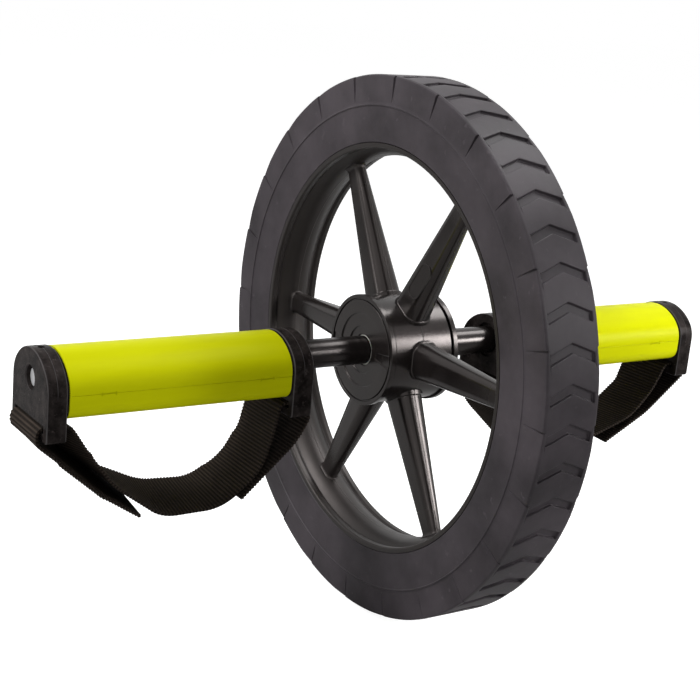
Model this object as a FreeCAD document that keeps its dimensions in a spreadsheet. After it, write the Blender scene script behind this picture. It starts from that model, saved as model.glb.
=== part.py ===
import FreeCAD, Part
import os
import re
from math import atan2, cos, pi, tan
import Sketcher
from FreeCAD import Placement, Rotation, Vector

# Sizes in millimetres. The axle lies along Y, Z points up and the origin is the wheel's centre.
SIZES = {
    "seat_gap": 0.1,
    "running_gap": 0.05,
    "moving_gap": 0.4,
    "rim_seat_radius": 124.7,
    "rim_half": 17.2,
    "rim_core_rise": 3.3,
    "rim_core_half": 13,
    "lip_wall": 3.2,
    "lip_width": 4.6,
    "lip_round": 1.4,
    "channel_wall": 2.4,
    "band_half": 6.2,
    "band_edge_wall": 6.1,
    "band_wall": 7.5,
    "tyre_height": 40.3,
    "tread_half": 18.7,
    "tread_round": 1.2,
    "ridge_height": 22.3,
    "ridge_rise": 0.7,
    "ridge_half": 0.9,
    "shoulder_slots": 24,
    "shoulder_slot_length": 14,
    "shoulder_slot_depth": 1.1,
    "tread_grooves": 48,
    "groove_half": 2.4,
    "groove_depth": 1.8,
    "groove_border": 3.2,
    "chevron_lean": 6,
    "spoke_count": 6,
    "spoke_root_sink": 3,
    "spoke_root_width": 23.2,
    "spoke_root_depth": 17.7,
    "spoke_foot_flare": 6.2,
    "spoke_tip_width": 13.7,
    "spoke_tip_depth": 8.2,
    "spoke_foot_sink": 2.4,
    "spoke_foot_width": 20,
    "spoke_foot_depth": 11.4,
    "spoke_bevel": 0.3,
    "hub_radius": 32.6,
    "hub_half": 21,
    "barrel_wall": 4.6,
    "sleeve_wall": 4,
    "sleeve_sunk": 1,
    "web_half": 3.5,
    "bush_wall": 3.85,
    "bush_from": 3,
    "bush_flange_rise": 3,
    "bush_flange_thick": 2,
    "hub_cap_overhang": 1.2,
    "hub_cap_thick": 3.3,
    "hub_cap_lip": 2.3,
    "hub_cap_groove": 1,
    "hub_cap_groove_depth": 0.9,
    "hub_cap_plate": 8,
    "hub_cap_step": 0.5,
    "hub_cap_well_rise": 5.4,
    "hub_cap_well_depth": 1,
    "hub_cap_key_half": 2.6,
    "hub_cap_key_depth": 0.6,
    "hub_cap_spigot": 4,
    "hub_cap_spigot_wall": 2.4,
    "axle_radius": 6,
    "axle_recess": 2.2,
    "axle_chamfer": 1,
    "spacer_wall": 2.6,
    "spacer_seat": 2,
    "spacer_seat_gap": 2.3,
    "cap_half": 25.4,
    "cap_dome": 20.4,
    "cap_shoulder": 16.5,
    "cap_centre": 4,
    "cap_foot": 30,
    "cap_corner": 2,
    "cap_edge": 0.9,
    "inner_cap_from": 72.3,
    "inner_cap_thick": 13.3,
    "outer_cap_thick": 11.5,
    "slot_low": 23.025,
    "slot_side_gap": 2,
    "slot_gap": 2.35,
    "axle_mouth_rise": 0.8,
    "axle_mouth_depth": 4,
    "collar_inset": 1,
    "collar_thick": 1.2,
    "grip_inset": 0.5,
    "grip_parting": 4.5,
    "grip_foot": 18.8,
    "grip_corner": 8.5,
    "grip_edge": 0.8,
    "grip_length": 134.5,
    "grip_wall": 3,
    "grip_rib": 2.5,
    "grip_chambers": 4,
    "screw_radius": 1.95,
    "screw_sunk": 3.8,
    "screw_socket": 1.15,
    "screw_socket_depth": 2,
    "strap_half": 19,
    "strap_thick": 2,
    "fold_gap": 1.35,
    "fold_round": 3.9,
    "fold_in_low": 34,
    "fold_out_low": 31,
    "slot_turn": 3.3,
    "slot_turn_round": 3.4,
    "sling_round": 30,
    "sling_floor_round": 16,
    "sling_in": 8.4,
    "sling_in_low": 46,
    "sling_turn": 17.4,
    "sling_turn_low": 64.5,
    "sling_floor": 40.4,
    "sling_floor_low": 79.2,
    "sling_floor_lean": 0.9,
    "sling_rise": 62.7,
    "sling_rise_low": 78.4,
    "sling_rise_lean": 1.7,
    "sling_climb": 30.7,
    "sling_climb_low": 59.7,
    "sling_climb_lean": 0.9,
    "sling_out": 12.9,
    "sling_out_low": 43.3,
    "sling_out_lean": 2,
    "tail_in": 25.7,
    "tail_in_low": 78,
    "tail_bend": 8.1,
    "tail_bend_low": 47,
    "tail_sag": 26.7,
    "tail_sag_low": 63.6,
    "tail_sag_lean": 0.6,
    "tail_out": 49.2,
    "tail_out_low": 79,
    "tail_out_lean": 1.2,
    "right_sling_turn_low": 62.5,
    "right_sling_floor_low": 72.5,
    "right_sling_rise_low": 70.6,
    "right_sling_climb_low": 58.9,
    "right_tail_sag": 16.7,
    "right_tail_sag_low": 55,
    "right_tail_out": 51.7,
    "right_tail_out_low": 73,
}

doc = FreeCAD.newDocument("ab_wheel_roller")
sheet = doc.addObject("Spreadsheet::Sheet", "sizes")
for row, (alias, value) in enumerate(SIZES.items(), start=1):
    sheet.set(f"A{row}", alias.replace("_", " "))
    sheet.set(f"B{row}", str(value))
    sheet.setAlias(f"B{row}", alias)
doc.recompute()

# Radii from the axle that follow from the sizes above.
TYRE_RADIUS = "rim_seat_radius + tyre_height"
RIDGE_RADIUS = "rim_seat_radius + ridge_height"
RIM_CORE = "rim_seat_radius + rim_core_rise"
LIP_RADIUS = "rim_seat_radius - lip_wall"
CHANNEL_RADIUS = "rim_seat_radius - channel_wall"
BAND_RADIUS = "rim_seat_radius - band_wall"
AXLE_BORE = "axle_radius + seat_gap"
BUSH_BORE = "axle_radius + running_gap"
BUSH_RADIUS = f"{BUSH_BORE} + bush_wall"
HUB_BORE = f"{BUSH_RADIUS} + seat_gap"
BARREL_INNER = "hub_radius - barrel_wall"
SPACER_RADIUS = f"{AXLE_BORE} + spacer_wall"
HUB_CAP_RADIUS = "hub_radius + hub_cap_overhang"

# Places along the axle, from the middle of the wheel outwards.
SLEEVE_END = "hub_half - sleeve_sunk"
BUSH_BACK = f"{SLEEVE_END} + seat_gap"
BUSH_FACE = f"{BUSH_BACK} + bush_flange_thick"
HUB_CAP_BACK = "hub_half + seat_gap"
HUB_CAP_FACE = f"{HUB_CAP_BACK} + hub_cap_thick"
SPACER_FROM = f"{BUSH_FACE} + moving_gap"
INNER_CAP_TO = "inner_cap_from + inner_cap_thick"
GRIP_FROM = f"{INNER_CAP_TO} + collar_thick + seat_gap"
GRIP_TO = f"{GRIP_FROM} + grip_length"
OUTER_CAP_FROM = f"{GRIP_TO} + seat_gap + collar_thick"
OUTER_CAP_TO = f"{OUTER_CAP_FROM} + outer_cap_thick"
SCREW_AT = f"{OUTER_CAP_FROM} + outer_cap_thick / 2"
AXLE_END = f"{OUTER_CAP_TO} - axle_recess"


def in_sheet(text):
    """The expression with every size's name pointed at the sheet."""
    return re.sub(r"[a-z_]+", lambda word: f"sizes.{word[0]}" if word[0] in SIZES else word[0], text)


def size(text):
    """The present value of an expression in the sizes."""
    return float(sheet.evalExpression(in_sheet(text)))


def drive(item, prop, text):
    """Binds one property to an expression in the sizes."""
    item.setExpression(prop, in_sheet(text))


def new_body(label, side="left"):
    """A body modelled on the -Y side; the right-hand one is the same body turned half a turn."""
    body = doc.addObject("PartDesign::Body", label)
    body.Label = label
    if side == "right":
        body.Placement = Placement(Vector(0, 0, 0), Rotation(Vector(0, 0, 1), 180))
    return body


def new_sketch(body, role, name, offset="0"):
    """A sketch on one of the body's origin planes, moved along the plane's normal."""
    sketch = body.newObject("Sketcher::SketchObject", name)
    plane = next(item for item in body.Origin.OriginFeatures if item.Role == role)
    sketch.AttachmentSupport = [(plane, "")]
    sketch.MapMode = "FlatFace"
    drive(sketch, "AttachmentOffset.Base.z", offset)
    return sketch


def constrain(sketch, rules):
    """Adds constraints; a rule with an expression is bound to it."""
    first = sketch.ConstraintCount
    sketch.addConstraint([Sketcher.Constraint(*rule[0]) for rule in rules])
    for index, (_, text) in enumerate(rules, start=first):
        if text is not None:
            drive(sketch, f"Constraints[{index}]", text)


def pinned(index, end, across, along):
    """Rules that hold one end of a line at its place from the sketch's origin."""
    return [
        (("DistanceX", -1, 1, index, end, size(across)), across),
        (("DistanceY", -1, 1, index, end, size(along)), along),
    ]


def polygon(sketch, corners):
    """A closed outline with every corner held by the sizes."""
    spots = [Vector(size(across), size(along), 0) for across, along in corners]
    first = sketch.GeometryCount
    count = len(corners)
    rules = []
    for index in range(count):
        sketch.addGeometry(Part.LineSegment(spots[index], spots[(index + 1) % count]))
    for index, (across, along) in enumerate(corners):
        rules.append((("Coincident", first + index, 2, first + (index + 1) % count, 1), None))
        rules += pinned(first + index, 1, across, along)
    constrain(sketch, rules)


def circle(sketch, across, along, radius):
    """A circle held by its centre and radius."""
    spot = Vector(size(across), size(along), 0)
    index = sketch.addGeometry(Part.Circle(spot, Vector(0, 0, 1), size(radius)))
    constrain(sketch, pinned(index, 3, across, along) + [(("Radius", index, size(radius)), radius)])


def dome(sketch, inset, foot):
    """The caps' outline moved inwards: an arch of three tangent arcs on straight legs down to -foot."""
    half, rise = f"(cap_half - ({inset}))", f"(cap_dome - ({inset}))"
    shoulder = f"(cap_shoulder - ({inset}))"
    crown = f"({half} ^ 2 - 2 * {half} * {shoulder} + {rise} ^ 2) / (2 * ({rise} - {shoulder}))"
    across, level, low = size(f"{half} - {shoulder}"), -size("cap_centre"), -size(foot)
    small, large = size(shoulder), size(crown)
    lift = size(f"({crown}) - {rise}")
    tilt = atan2(lift, across)
    arcs = [
        (Vector(across, level, 0), small, 0, tilt),
        (Vector(0, level - lift, 0), large, tilt, pi - tilt),
        (Vector(-across, level, 0), small, pi - tilt, pi),
    ]
    for centre, radius, start, stop in arcs:
        sketch.addGeometry(Part.ArcOfCircle(Part.Circle(centre, Vector(0, 0, 1), radius), start, stop))
    wide = size(half)
    spots = [Vector(-wide, level, 0), Vector(-wide, low, 0), Vector(wide, low, 0), Vector(wide, level, 0)]
    for start, stop in zip(spots, spots[1:]):
        sketch.addGeometry(Part.LineSegment(start, stop))
    rules = pinned(0, 3, f"{half} - {shoulder}", "-cap_centre")
    rules += pinned(2, 3, f"-({half} - {shoulder})", "-cap_centre")
    rules += [(("Radius", index, radius), text) for index, radius, text in (
        (0, small, shoulder), (1, large, crown), (2, small, shoulder))]
    rules += [
        (("DistanceY", -1, 1, 0, 1, level), "-cap_centre"),
        (("DistanceY", -1, 1, 2, 2, level), "-cap_centre"),
        (("Tangent", 0, 2, 1, 1), None),
        (("Tangent", 1, 2, 2, 1), None),
        (("DistanceY", -1, 1, 3, 2, low), f"-({foot})"),
        (("Vertical", 3), None),
        (("Horizontal", 4), None),
        (("Vertical", 5), None),
    ]
    rules += [(("Coincident", index, 2, index + 1, 1), None) for index in (2, 3, 4)]
    rules.append((("Coincident", 5, 2, 0, 1), None))
    constrain(sketch, rules)


def mirrored(half):
    """The same corners on the other side of the wheel, in the order that closes the outline."""
    return [(radius, f"-({place})") for radius, place in reversed(half)]


def turned(body, name, corners, kind="Revolution"):
    """Turns an outline of radius and place along the axle once round the axle."""
    sketch = new_sketch(body, "XY_Plane", f"{name}_outline")
    polygon(sketch, corners)
    feature = body.newObject(f"PartDesign::{kind}", name)
    feature.Profile = sketch
    feature.ReferenceAxis = (sketch, ["V_Axis"])
    feature.Angle = 360
    return feature


def padded(body, name, sketch, length):
    """Pads a sketch along its normal."""
    feature = body.newObject("PartDesign::Pad", name)
    feature.Profile = sketch
    drive(feature, "Length", length)
    return feature


def pocketed(body, name, sketch, length, reverse=True):
    """Cuts a sketch into the body; reverse cuts along the sketch's normal."""
    feature = body.newObject("PartDesign::Pocket", name)
    feature.Profile = sketch
    feature.Reversed = reverse
    drive(feature, "Length", length)
    return feature


def patterned(body, name, originals, count):
    """Repeats features evenly round the axle."""
    axis = next(item for item in body.Origin.OriginFeatures if item.Role == "Y_Axis")
    feature = body.newObject("PartDesign::PolarPattern", name)
    feature.Originals = originals
    feature.Axis = (axis, [""])
    feature.Angle = 360
    drive(feature, "Occurrences", count)
    body.Tip = feature
    return feature


def edged(body, name, kind, amount, chosen):
    """Rounds or bevels the edges of the body's tip for which the given test holds."""
    doc.recompute()
    base = body.Tip
    names = [f"Edge{index}" for index, edge in enumerate(base.Shape.Edges, start=1) if chosen(edge)]
    feature = body.newObject(f"PartDesign::{kind}", name)
    feature.Base = (base, names)
    drive(feature, "Radius" if kind == "Fillet" else "Size", amount)
    doc.recompute()
    return feature


def along_axle(edge):
    """Whether an edge runs parallel to the axle."""
    box = edge.BoundBox
    return box.YLength > 1e-6 and box.XLength < 1e-6 and box.ZLength < 1e-6


def across_axle(edge):
    """Whether an edge lies in a plane square to the axle."""
    return edge.BoundBox.YLength < 1e-6


def make_tyre():
    """The solid rubber tyre with its bead, side ridge, ramped shoulder slots and chevron tread."""
    body = new_body("tyre")
    bead = "rim_seat_radius + seat_gap"
    half = [
        (f"{RIM_CORE} + seat_gap", "rim_core_half + seat_gap"),
        (bead, "rim_core_half + seat_gap"),
        (bead, "rim_half"),
        (f"{RIDGE_RADIUS} - ridge_half", "tread_half"),
        (RIDGE_RADIUS, "tread_half + ridge_rise"),
        (f"{RIDGE_RADIUS} + ridge_half", "tread_half"),
        (f"{TYRE_RADIUS} - tread_round", "tread_half"),
        (TYRE_RADIUS, "tread_half - tread_round"),
    ]
    turned(body, "tyre_ring", half + mirrored(half))
    cuts = []
    clear = "tread_half + 2 * ridge_rise"
    for name, sign in (("near", "-"), ("far", "")):
        sketch = new_sketch(body, "XY_Plane", f"{name}_slot_outline", f"{RIDGE_RADIUS} + 2 * ridge_half")
        polygon(sketch, [
            ("0", f"{sign}(tread_half - shoulder_slot_depth)"), ("shoulder_slot_length", f"{sign}tread_half"),
            ("shoulder_slot_length", f"{sign}({clear})"), ("0", f"{sign}({clear})"),
        ])
        cuts.append(pocketed(body, f"{name}_shoulder_slot", sketch, "tyre_height"))
    patterned(body, "shoulder_slots_round", cuts, "shoulder_slots")
    sketch = new_sketch(body, "XY_Plane", "chevron_outline", f"{TYRE_RADIUS} - groove_depth")
    edge = "tread_half - groove_border"
    polygon(sketch, [
        ("-groove_half", "0"), ("chevron_lean - groove_half", edge), ("chevron_lean + groove_half", edge),
        ("groove_half", "0"), ("chevron_lean + groove_half", f"-({edge})"),
        ("chevron_lean - groove_half", f"-({edge})"),
    ])
    groove = pocketed(body, "chevron_groove", sketch, "2 * groove_depth")
    patterned(body, "chevrons_round", [groove], "tread_grooves")


def spoke_section(body, name, place, width, depth):
    """One eight-sided section of a spoke, square to X."""
    sketch = new_sketch(body, "YZ_Plane", name, place)
    y, z = f"{depth} / 2", f"{width} / 2"
    short_y, short_z = f"({y} - spoke_bevel * {depth})", f"({z} - spoke_bevel * {depth})"
    polygon(sketch, [
        (f"-{short_y}", f"-{z}"), (short_y, f"-{z}"), (y, f"-{short_z}"), (y, short_z),
        (short_y, z), (f"-{short_y}", z), (f"-{y}", short_z), (f"-{y}", f"-{short_z}"),
    ])
    return sketch


def make_wheel():
    """Rim, tapered lofted spokes and hollow hub, moulded as one."""
    body = new_body("wheel")
    lip_from = "rim_half - lip_width"
    half = [
        ("rim_seat_radius - band_edge_wall", "band_half"),
        (CHANNEL_RADIUS, f"{lip_from} - lip_round"),
        (LIP_RADIUS, lip_from),
        (LIP_RADIUS, "rim_half - lip_round"),
        (f"{LIP_RADIUS} + lip_round", "rim_half"),
        ("rim_seat_radius", "rim_half"),
        ("rim_seat_radius", "rim_core_half"),
        (RIM_CORE, "rim_core_half"),
    ]
    turned(body, "rim", [(BAND_RADIUS, "0")] + half + mirrored(half))
    stations = [
        ("hub_radius - spoke_root_sink", "spoke_root_width", "spoke_root_depth"),
        (f"{BAND_RADIUS} - spoke_foot_flare", "spoke_tip_width", "spoke_tip_depth"),
        (f"{BAND_RADIUS} + spoke_foot_sink", "spoke_foot_width", "spoke_foot_depth"),
    ]
    sections = [
        spoke_section(body, f"spoke_section_{index}", *station) for index, station in enumerate(stations)
    ]
    spoke = body.newObject("PartDesign::AdditiveLoft", "spoke")
    spoke.Profile = sections[0]
    spoke.Sections = sections[1:]
    spoke.Ruled = True
    half = [
        (HUB_BORE, SLEEVE_END),
        (f"{HUB_BORE} + sleeve_wall", SLEEVE_END),
        (f"{HUB_BORE} + sleeve_wall", "web_half"),
        (BARREL_INNER, "web_half"),
        (BARREL_INNER, "hub_half"),
        ("hub_radius", "hub_half"),
    ]
    turned(body, "hub", half + mirrored(half))
    patterned(body, "spokes_round", [spoke], "spoke_count")


def make_axle():
    """The plain steel rod with chamfered ends."""
    body = new_body("axle")
    half = [
        ("axle_radius", f"{AXLE_END} - axle_chamfer"),
        ("axle_radius - axle_chamfer", AXLE_END),
        ("0", AXLE_END),
    ]
    turned(body, "rod", half + mirrored(half))


def outward(corners):
    """Corners given as radius and distance from the middle, put on the -Y side."""
    return [(radius, f"-({place})") for radius, place in corners]


def make_bush(side):
    """The flanged plain bush in one end of the hub."""
    body = new_body(f"{side}_axle_bush", side)
    flange = f"{HUB_BORE} + bush_flange_rise"
    turned(body, "bush", outward([
        (BUSH_BORE, "bush_from"), (BUSH_RADIUS, "bush_from"), (BUSH_RADIUS, BUSH_BACK),
        (flange, BUSH_BACK), (flange, BUSH_FACE), (BUSH_BORE, BUSH_FACE),
    ]))


def make_hub_cap(side):
    """The stepped cover that closes one end of the hub, with two key ways across its plate."""
    body = new_body(f"{side}_hub_end_cap", side)
    hole = f"{SPACER_RADIUS} + moving_gap"
    well = f"{hole} + hub_cap_well_rise"
    groove_out = f"{HUB_CAP_RADIUS} - hub_cap_lip"
    groove_in = f"{groove_out} - hub_cap_groove"
    plate_in = f"{groove_in} - hub_cap_plate"
    field = f"{HUB_CAP_FACE} - hub_cap_step"
    groove_floor = f"{HUB_CAP_FACE} - hub_cap_groove_depth"
    well_floor = f"{HUB_CAP_FACE} - hub_cap_well_depth"
    inside = f"{BUSH_FACE} + seat_gap"
    spigot = f"{BARREL_INNER} - seat_gap"
    spigot_end = f"{HUB_CAP_BACK} - hub_cap_spigot"
    turned(body, "cover", outward([
        (hole, inside), (hole, well_floor), (well, well_floor), (well, field),
        (plate_in, field), (plate_in, HUB_CAP_FACE), (groove_in, HUB_CAP_FACE), (groove_in, groove_floor),
        (groove_out, groove_floor), (groove_out, HUB_CAP_FACE), (HUB_CAP_RADIUS, HUB_CAP_FACE),
        (HUB_CAP_RADIUS, HUB_CAP_BACK), (spigot, HUB_CAP_BACK), (spigot, spigot_end),
        (f"{spigot} - hub_cap_spigot_wall", spigot_end), (f"{spigot} - hub_cap_spigot_wall", inside),
    ]))
    sketch = new_sketch(body, "XZ_Plane", "key_outline", f"{HUB_CAP_FACE} - hub_cap_key_depth")
    key_from, key_to = f"{hole} + hub_cap_well_rise / 2", f"{groove_in} + hub_cap_groove / 2"
    polygon(sketch, [
        (key_from, "-hub_cap_key_half"), (key_to, "-hub_cap_key_half"),
        (key_to, "hub_cap_key_half"), (key_from, "hub_cap_key_half"),
    ])
    key = pocketed(body, "key_way", sketch, "hub_cap_thick")
    patterned(body, "key_ways", [key], "2")


def make_spacer(side):
    """The tube on the axle between hub and inner cap."""
    body = new_body(f"{side}_spacer", side)
    end = "inner_cap_from + spacer_seat - seat_gap"
    turned(body, "tube", outward([
        (AXLE_BORE, SPACER_FROM), (SPACER_RADIUS, SPACER_FROM), (SPACER_RADIUS, end), (AXLE_BORE, end),
    ]))


def make_cap(side, which):
    """One end plate of a handle with its strap slot and axle bore."""
    inner = which == "inner"
    body = new_body(f"{side}_{which}_cap", side)
    start = "inner_cap_from" if inner else OUTER_CAP_FROM
    thick = f"{which}_cap_thick"
    sketch = new_sketch(body, "XZ_Plane", "plate_outline", start)
    dome(sketch, "0", "cap_foot")
    padded(body, "plate", sketch, thick)
    sole = -size("cap_foot")
    edged(body, "plate_corners", "Fillet", "cap_corner",
          lambda edge: along_axle(edge) and abs(edge.BoundBox.ZMax - sole) < 1e-3)
    edged(body, "plate_edges", "Chamfer", "cap_edge", across_axle)
    collar_from = f"{start} + {thick}" if inner else f"{start} - collar_thick"
    sketch = new_sketch(body, "XZ_Plane", "collar_outline", collar_from)
    dome(sketch, "grip_inset + collar_inset", "grip_foot - collar_inset")
    padded(body, "collar", sketch, "collar_thick")
    reach = f"{thick} + 2 * collar_thick"
    sketch = new_sketch(body, "XZ_Plane", "bore_outline", f"{start} - collar_thick")
    circle(sketch, "0", "0", AXLE_BORE)
    pocketed(body, "axle_bore", sketch, reach)
    sketch = new_sketch(body, "XZ_Plane", "slot_outline", f"{start} - collar_thick")
    wide, high = "strap_half + slot_side_gap", "(strap_thick + slot_gap) / 2"
    polygon(sketch, [
        (f"-({wide})", f"-(slot_low + {high})"), (wide, f"-(slot_low + {high})"),
        (wide, f"-(slot_low - {high})"), (f"-({wide})", f"-(slot_low - {high})"),
    ])
    pocketed(body, "strap_slot", sketch, reach)
    if inner:
        sketch = new_sketch(body, "XZ_Plane", "spacer_seat_outline", start)
        circle(sketch, "0", "0", f"{SPACER_RADIUS} + spacer_seat_gap")
        pocketed(body, "spacer_recess", sketch, "spacer_seat")
        return
    sketch = new_sketch(body, "XZ_Plane", "mouth_outline", f"{OUTER_CAP_TO} - axle_mouth_depth")
    circle(sketch, "0", "0", f"{AXLE_BORE} + axle_mouth_rise")
    pocketed(body, "axle_mouth", sketch, "axle_mouth_depth")
    sketch = new_sketch(body, "XY_Plane", "screw_hole_outline")
    circle(sketch, "0", f"-({SCREW_AT})", "screw_radius + running_gap")
    pocketed(body, "screw_hole", sketch, "cap_dome")


def make_grip(side, which):
    """One half shell of a grip, ribbed inside to sit on the axle."""
    upper = which == "upper"
    body = new_body(f"{side}_grip_{which}", side)
    sketch = new_sketch(body, "XZ_Plane", "shell_outline", GRIP_FROM)
    parting = "-grip_parting" if upper else "-(grip_parting + seat_gap)"
    wide = "(cap_half - grip_inset)"
    if upper:
        dome(sketch, "grip_inset", "grip_parting")
    else:
        polygon(sketch, [
            (f"-{wide}", "-grip_foot"), (wide, "-grip_foot"), (wide, parting), (f"-{wide}", parting),
        ])
    padded(body, "shell", sketch, "grip_length")
    split = size(parting)
    sole = -size("grip_foot")
    if not upper:
        edged(body, "shell_corners", "Fillet", "grip_corner",
              lambda edge: along_axle(edge) and abs(edge.BoundBox.ZMax - sole) < 1e-3)
    edged(body, "shell_ends", "Chamfer", "grip_edge",
          lambda edge: across_axle(edge) and abs(edge.BoundBox.Center.z - split) > 1e-3)
    room = "(grip_length - grip_rib) / grip_chambers"
    sketch = new_sketch(body, "XZ_Plane", "chamber_outline", f"{GRIP_FROM} + grip_rib")
    if upper:
        dome(sketch, "grip_inset + grip_wall", "grip_parting")
    else:
        inside = f"{wide} - grip_wall"
        floor, cut = "-(grip_foot - grip_wall)", "grip_corner - grip_wall"
        polygon(sketch, [
            (f"-({inside})", parting), (f"-({inside})", f"{floor} + {cut}"),
            (f"-({inside} - ({cut}))", floor), (f"{inside} - ({cut})", floor),
            (inside, f"{floor} + {cut}"), (inside, parting),
        ])
    chamber = pocketed(body, "chamber", sketch, f"{room} - grip_rib")
    axis = next(item for item in body.Origin.OriginFeatures if item.Role == "Y_Axis")
    row = body.newObject("PartDesign::LinearPattern", "chambers_along")
    row.Originals = [chamber]
    row.Direction = (axis, [""])
    row.Reversed = True
    drive(row, "Length", f"{room} * (grip_chambers - 1)")
    drive(row, "Occurrences", "grip_chambers")
    body.Tip = row
    sketch = new_sketch(body, "XZ_Plane", "saddle_outline", GRIP_FROM)
    circle(sketch, "0", "0", AXLE_BORE)
    pocketed(body, "axle_saddle", sketch, "grip_length")
    if upper:
        sketch = new_sketch(body, "XZ_Plane", "saddle_mouth_outline", GRIP_FROM)
        polygon(sketch, [
            (f"-({AXLE_BORE})", f"{parting} - grip_wall"), (AXLE_BORE, f"{parting} - grip_wall"),
            (AXLE_BORE, "0"), (f"-({AXLE_BORE})", "0"),
        ])
        pocketed(body, "saddle_mouth", sketch, "grip_length")


def make_screw(side):
    """The grub screw that holds the outer cap on the axle."""
    body = new_body(f"{side}_grub_screw", side)
    sketch = new_sketch(body, "XY_Plane", "screw_outline", AXLE_BORE)
    circle(sketch, "0", f"-({SCREW_AT})", "screw_radius")
    top = "cap_dome - cap_centre - screw_sunk"
    padded(body, "screw", sketch, f"{top} - ({AXLE_BORE})")
    sketch = new_sketch(body, "XY_Plane", "socket_outline", f"{top} - screw_socket_depth")
    corners = [(1, 0), (0.5, 0.8660254037844386), (-0.5, 0.8660254037844386)]
    corners += [(-across, -along) for across, along in corners]
    polygon(sketch, [
        (f"screw_socket * {across}", f"screw_socket * {along} - ({SCREW_AT})") for across, along in corners
    ])
    pocketed(body, "hex_socket", sketch, "screw_socket_depth")


def strap_edge(spots, rounds, shift):
    """Straight runs and arcs along a path in the YZ plane, moved sideways by the given amount."""
    ways = [(after - before).normalize() for before, after in zip(spots, spots[1:])]
    sides = [Vector(0, -way.z, way.y) for way in ways]
    start = spots[0] + sides[0] * shift
    edges = []
    for spot, radius, before, after, side, next_side in zip(
            spots[1:], rounds, ways, ways[1:], sides, sides[1:]):
        turn = before.getAngle(after)
        reach = radius * tan(turn / 2)
        middle = (side + next_side).normalize()
        inward = 1 if after.dot(side) > 0 else -1
        arc_from = spot - before * reach + side * shift
        arc_to = spot + after * reach + next_side * shift
        arc_by = spot + middle * (inward * (radius / cos(turn / 2) - radius) + shift)
        edges.append(Part.LineSegment(start, arc_from).toShape())
        edges.append(Part.Arc(arc_from, arc_by, arc_to).toShape())
        start = arc_to
    edges.append(Part.LineSegment(start, spots[-1] + sides[-1] * shift).toShape())
    return edges


def strap_outline(side, edge):
    """One long edge of the webbing: tail, fold round the inner cap, sling, fold at the outer cap, tail."""
    fold_in = "inner_cap_from - fold_gap - strap_thick / 2"
    fold_out = f"{OUTER_CAP_TO} + fold_gap + strap_thick / 2"
    own = "right_" if side == "right" else ""
    path = [
        (f"{INNER_CAP_TO} + tail_in", "tail_in_low", None),
        (f"{INNER_CAP_TO} - tail_bend", "tail_bend_low", "sling_round"),
        (fold_in, "fold_in_low", "fold_round"),
        (fold_in, "slot_low", "fold_round"),
        (f"{INNER_CAP_TO} + slot_turn", "slot_low", "slot_turn_round"),
        (f"{INNER_CAP_TO} + sling_in", "sling_in_low", "sling_round"),
        (f"{INNER_CAP_TO} + sling_turn", f"{own}sling_turn_low", "sling_round"),
        (f"{INNER_CAP_TO} + sling_floor", f"{own}sling_floor_low + {edge} * sling_floor_lean",
         "sling_floor_round"),
        (f"{OUTER_CAP_FROM} - sling_rise", f"{own}sling_rise_low + {edge} * sling_rise_lean",
         "sling_floor_round"),
        (f"{OUTER_CAP_FROM} - sling_climb", f"{own}sling_climb_low + {edge} * sling_climb_lean",
         "sling_round"),
        (f"{OUTER_CAP_FROM} - sling_out", f"sling_out_low + {edge} * sling_out_lean", "sling_floor_round"),
        (f"{OUTER_CAP_FROM} - slot_turn", "slot_low", "slot_turn_round"),
        (fold_out, "slot_low", "fold_round"),
        (fold_out, "fold_out_low", "fold_round"),
        (f"{OUTER_CAP_FROM} - {own}tail_sag", f"{own}tail_sag_low + {edge} * tail_sag_lean", "sling_round"),
        (f"{OUTER_CAP_FROM} - {own}tail_out", f"{own}tail_out_low + {edge} * tail_out_lean", None),
    ]
    hand = -1 if side == "left" else 1
    spots = [Vector(edge * size("strap_half"), hand * size(place), -size(low)) for place, low, _ in path]
    rounds = [size(radius) for _, _, radius in path[1:-1]]
    upper = strap_edge(spots, rounds, size("strap_thick") / 2)
    lower = strap_edge(spots, rounds, -size("strap_thick") / 2)
    first = Part.LineSegment(lower[0].firstVertex().Point, upper[0].firstVertex().Point).toShape()
    last = Part.LineSegment(upper[-1].lastVertex().Point, lower[-1].lastVertex().Point).toShape()
    return Part.Wire(Part.__sortEdges__([first] + upper + [last] + lower[::-1]))


def make_strap(side):
    """The webbing band, ruled from its back edge to its front edge, which hangs a little lower."""
    item = doc.addObject("Part::Feature", f"{side}_strap")
    item.Label = f"{side}_strap"
    item.Shape = Part.makeLoft([strap_outline(side, -1), strap_outline(side, 1)], True, True)


make_tyre()
make_wheel()
make_axle()
for hand in ("left", "right"):
    make_bush(hand)
    make_hub_cap(hand)
    make_spacer(hand)
    make_cap(hand, "inner")
    make_cap(hand, "outer")
    make_grip(hand, "upper")
    make_grip(hand, "lower")
    make_screw(hand)
    make_strap(hand)
doc.recompute()

for item in doc.Objects:
    if "Invalid" in item.State or "Error" in item.State:
        raise RuntimeError(f"{item.Label} did not build: {item.State}")

os.makedirs("parts", exist_ok=True)
for item in doc.Objects:
    if item.TypeId in ("PartDesign::Body", "Part::Feature") and item.getParentGeoFeatureGroup() is None:
        shape = item.Shape
        if shape.isNull() or not shape.isValid() or len(shape.Solids) != 1:
            raise RuntimeError(f"{item.Label} is not one sound solid")
        shape.exportStep(f"parts/{item.Label}.step")
        print(f"{item.Label:22s} {shape.Volume:12.1f} mm3  {len(shape.Faces)} faces")
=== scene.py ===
"""Dresses the ab wheel roller: tyre, spoked wheel, hub covers, handles and webbing straps."""
from math import atan2, cos, degrees, hypot, pi, radians, sin, sqrt, tan

import bpy
from bpy.props import FloatProperty, FloatVectorProperty, IntProperty, PointerProperty
from mathutils import Matrix, Quaternion, Vector


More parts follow.
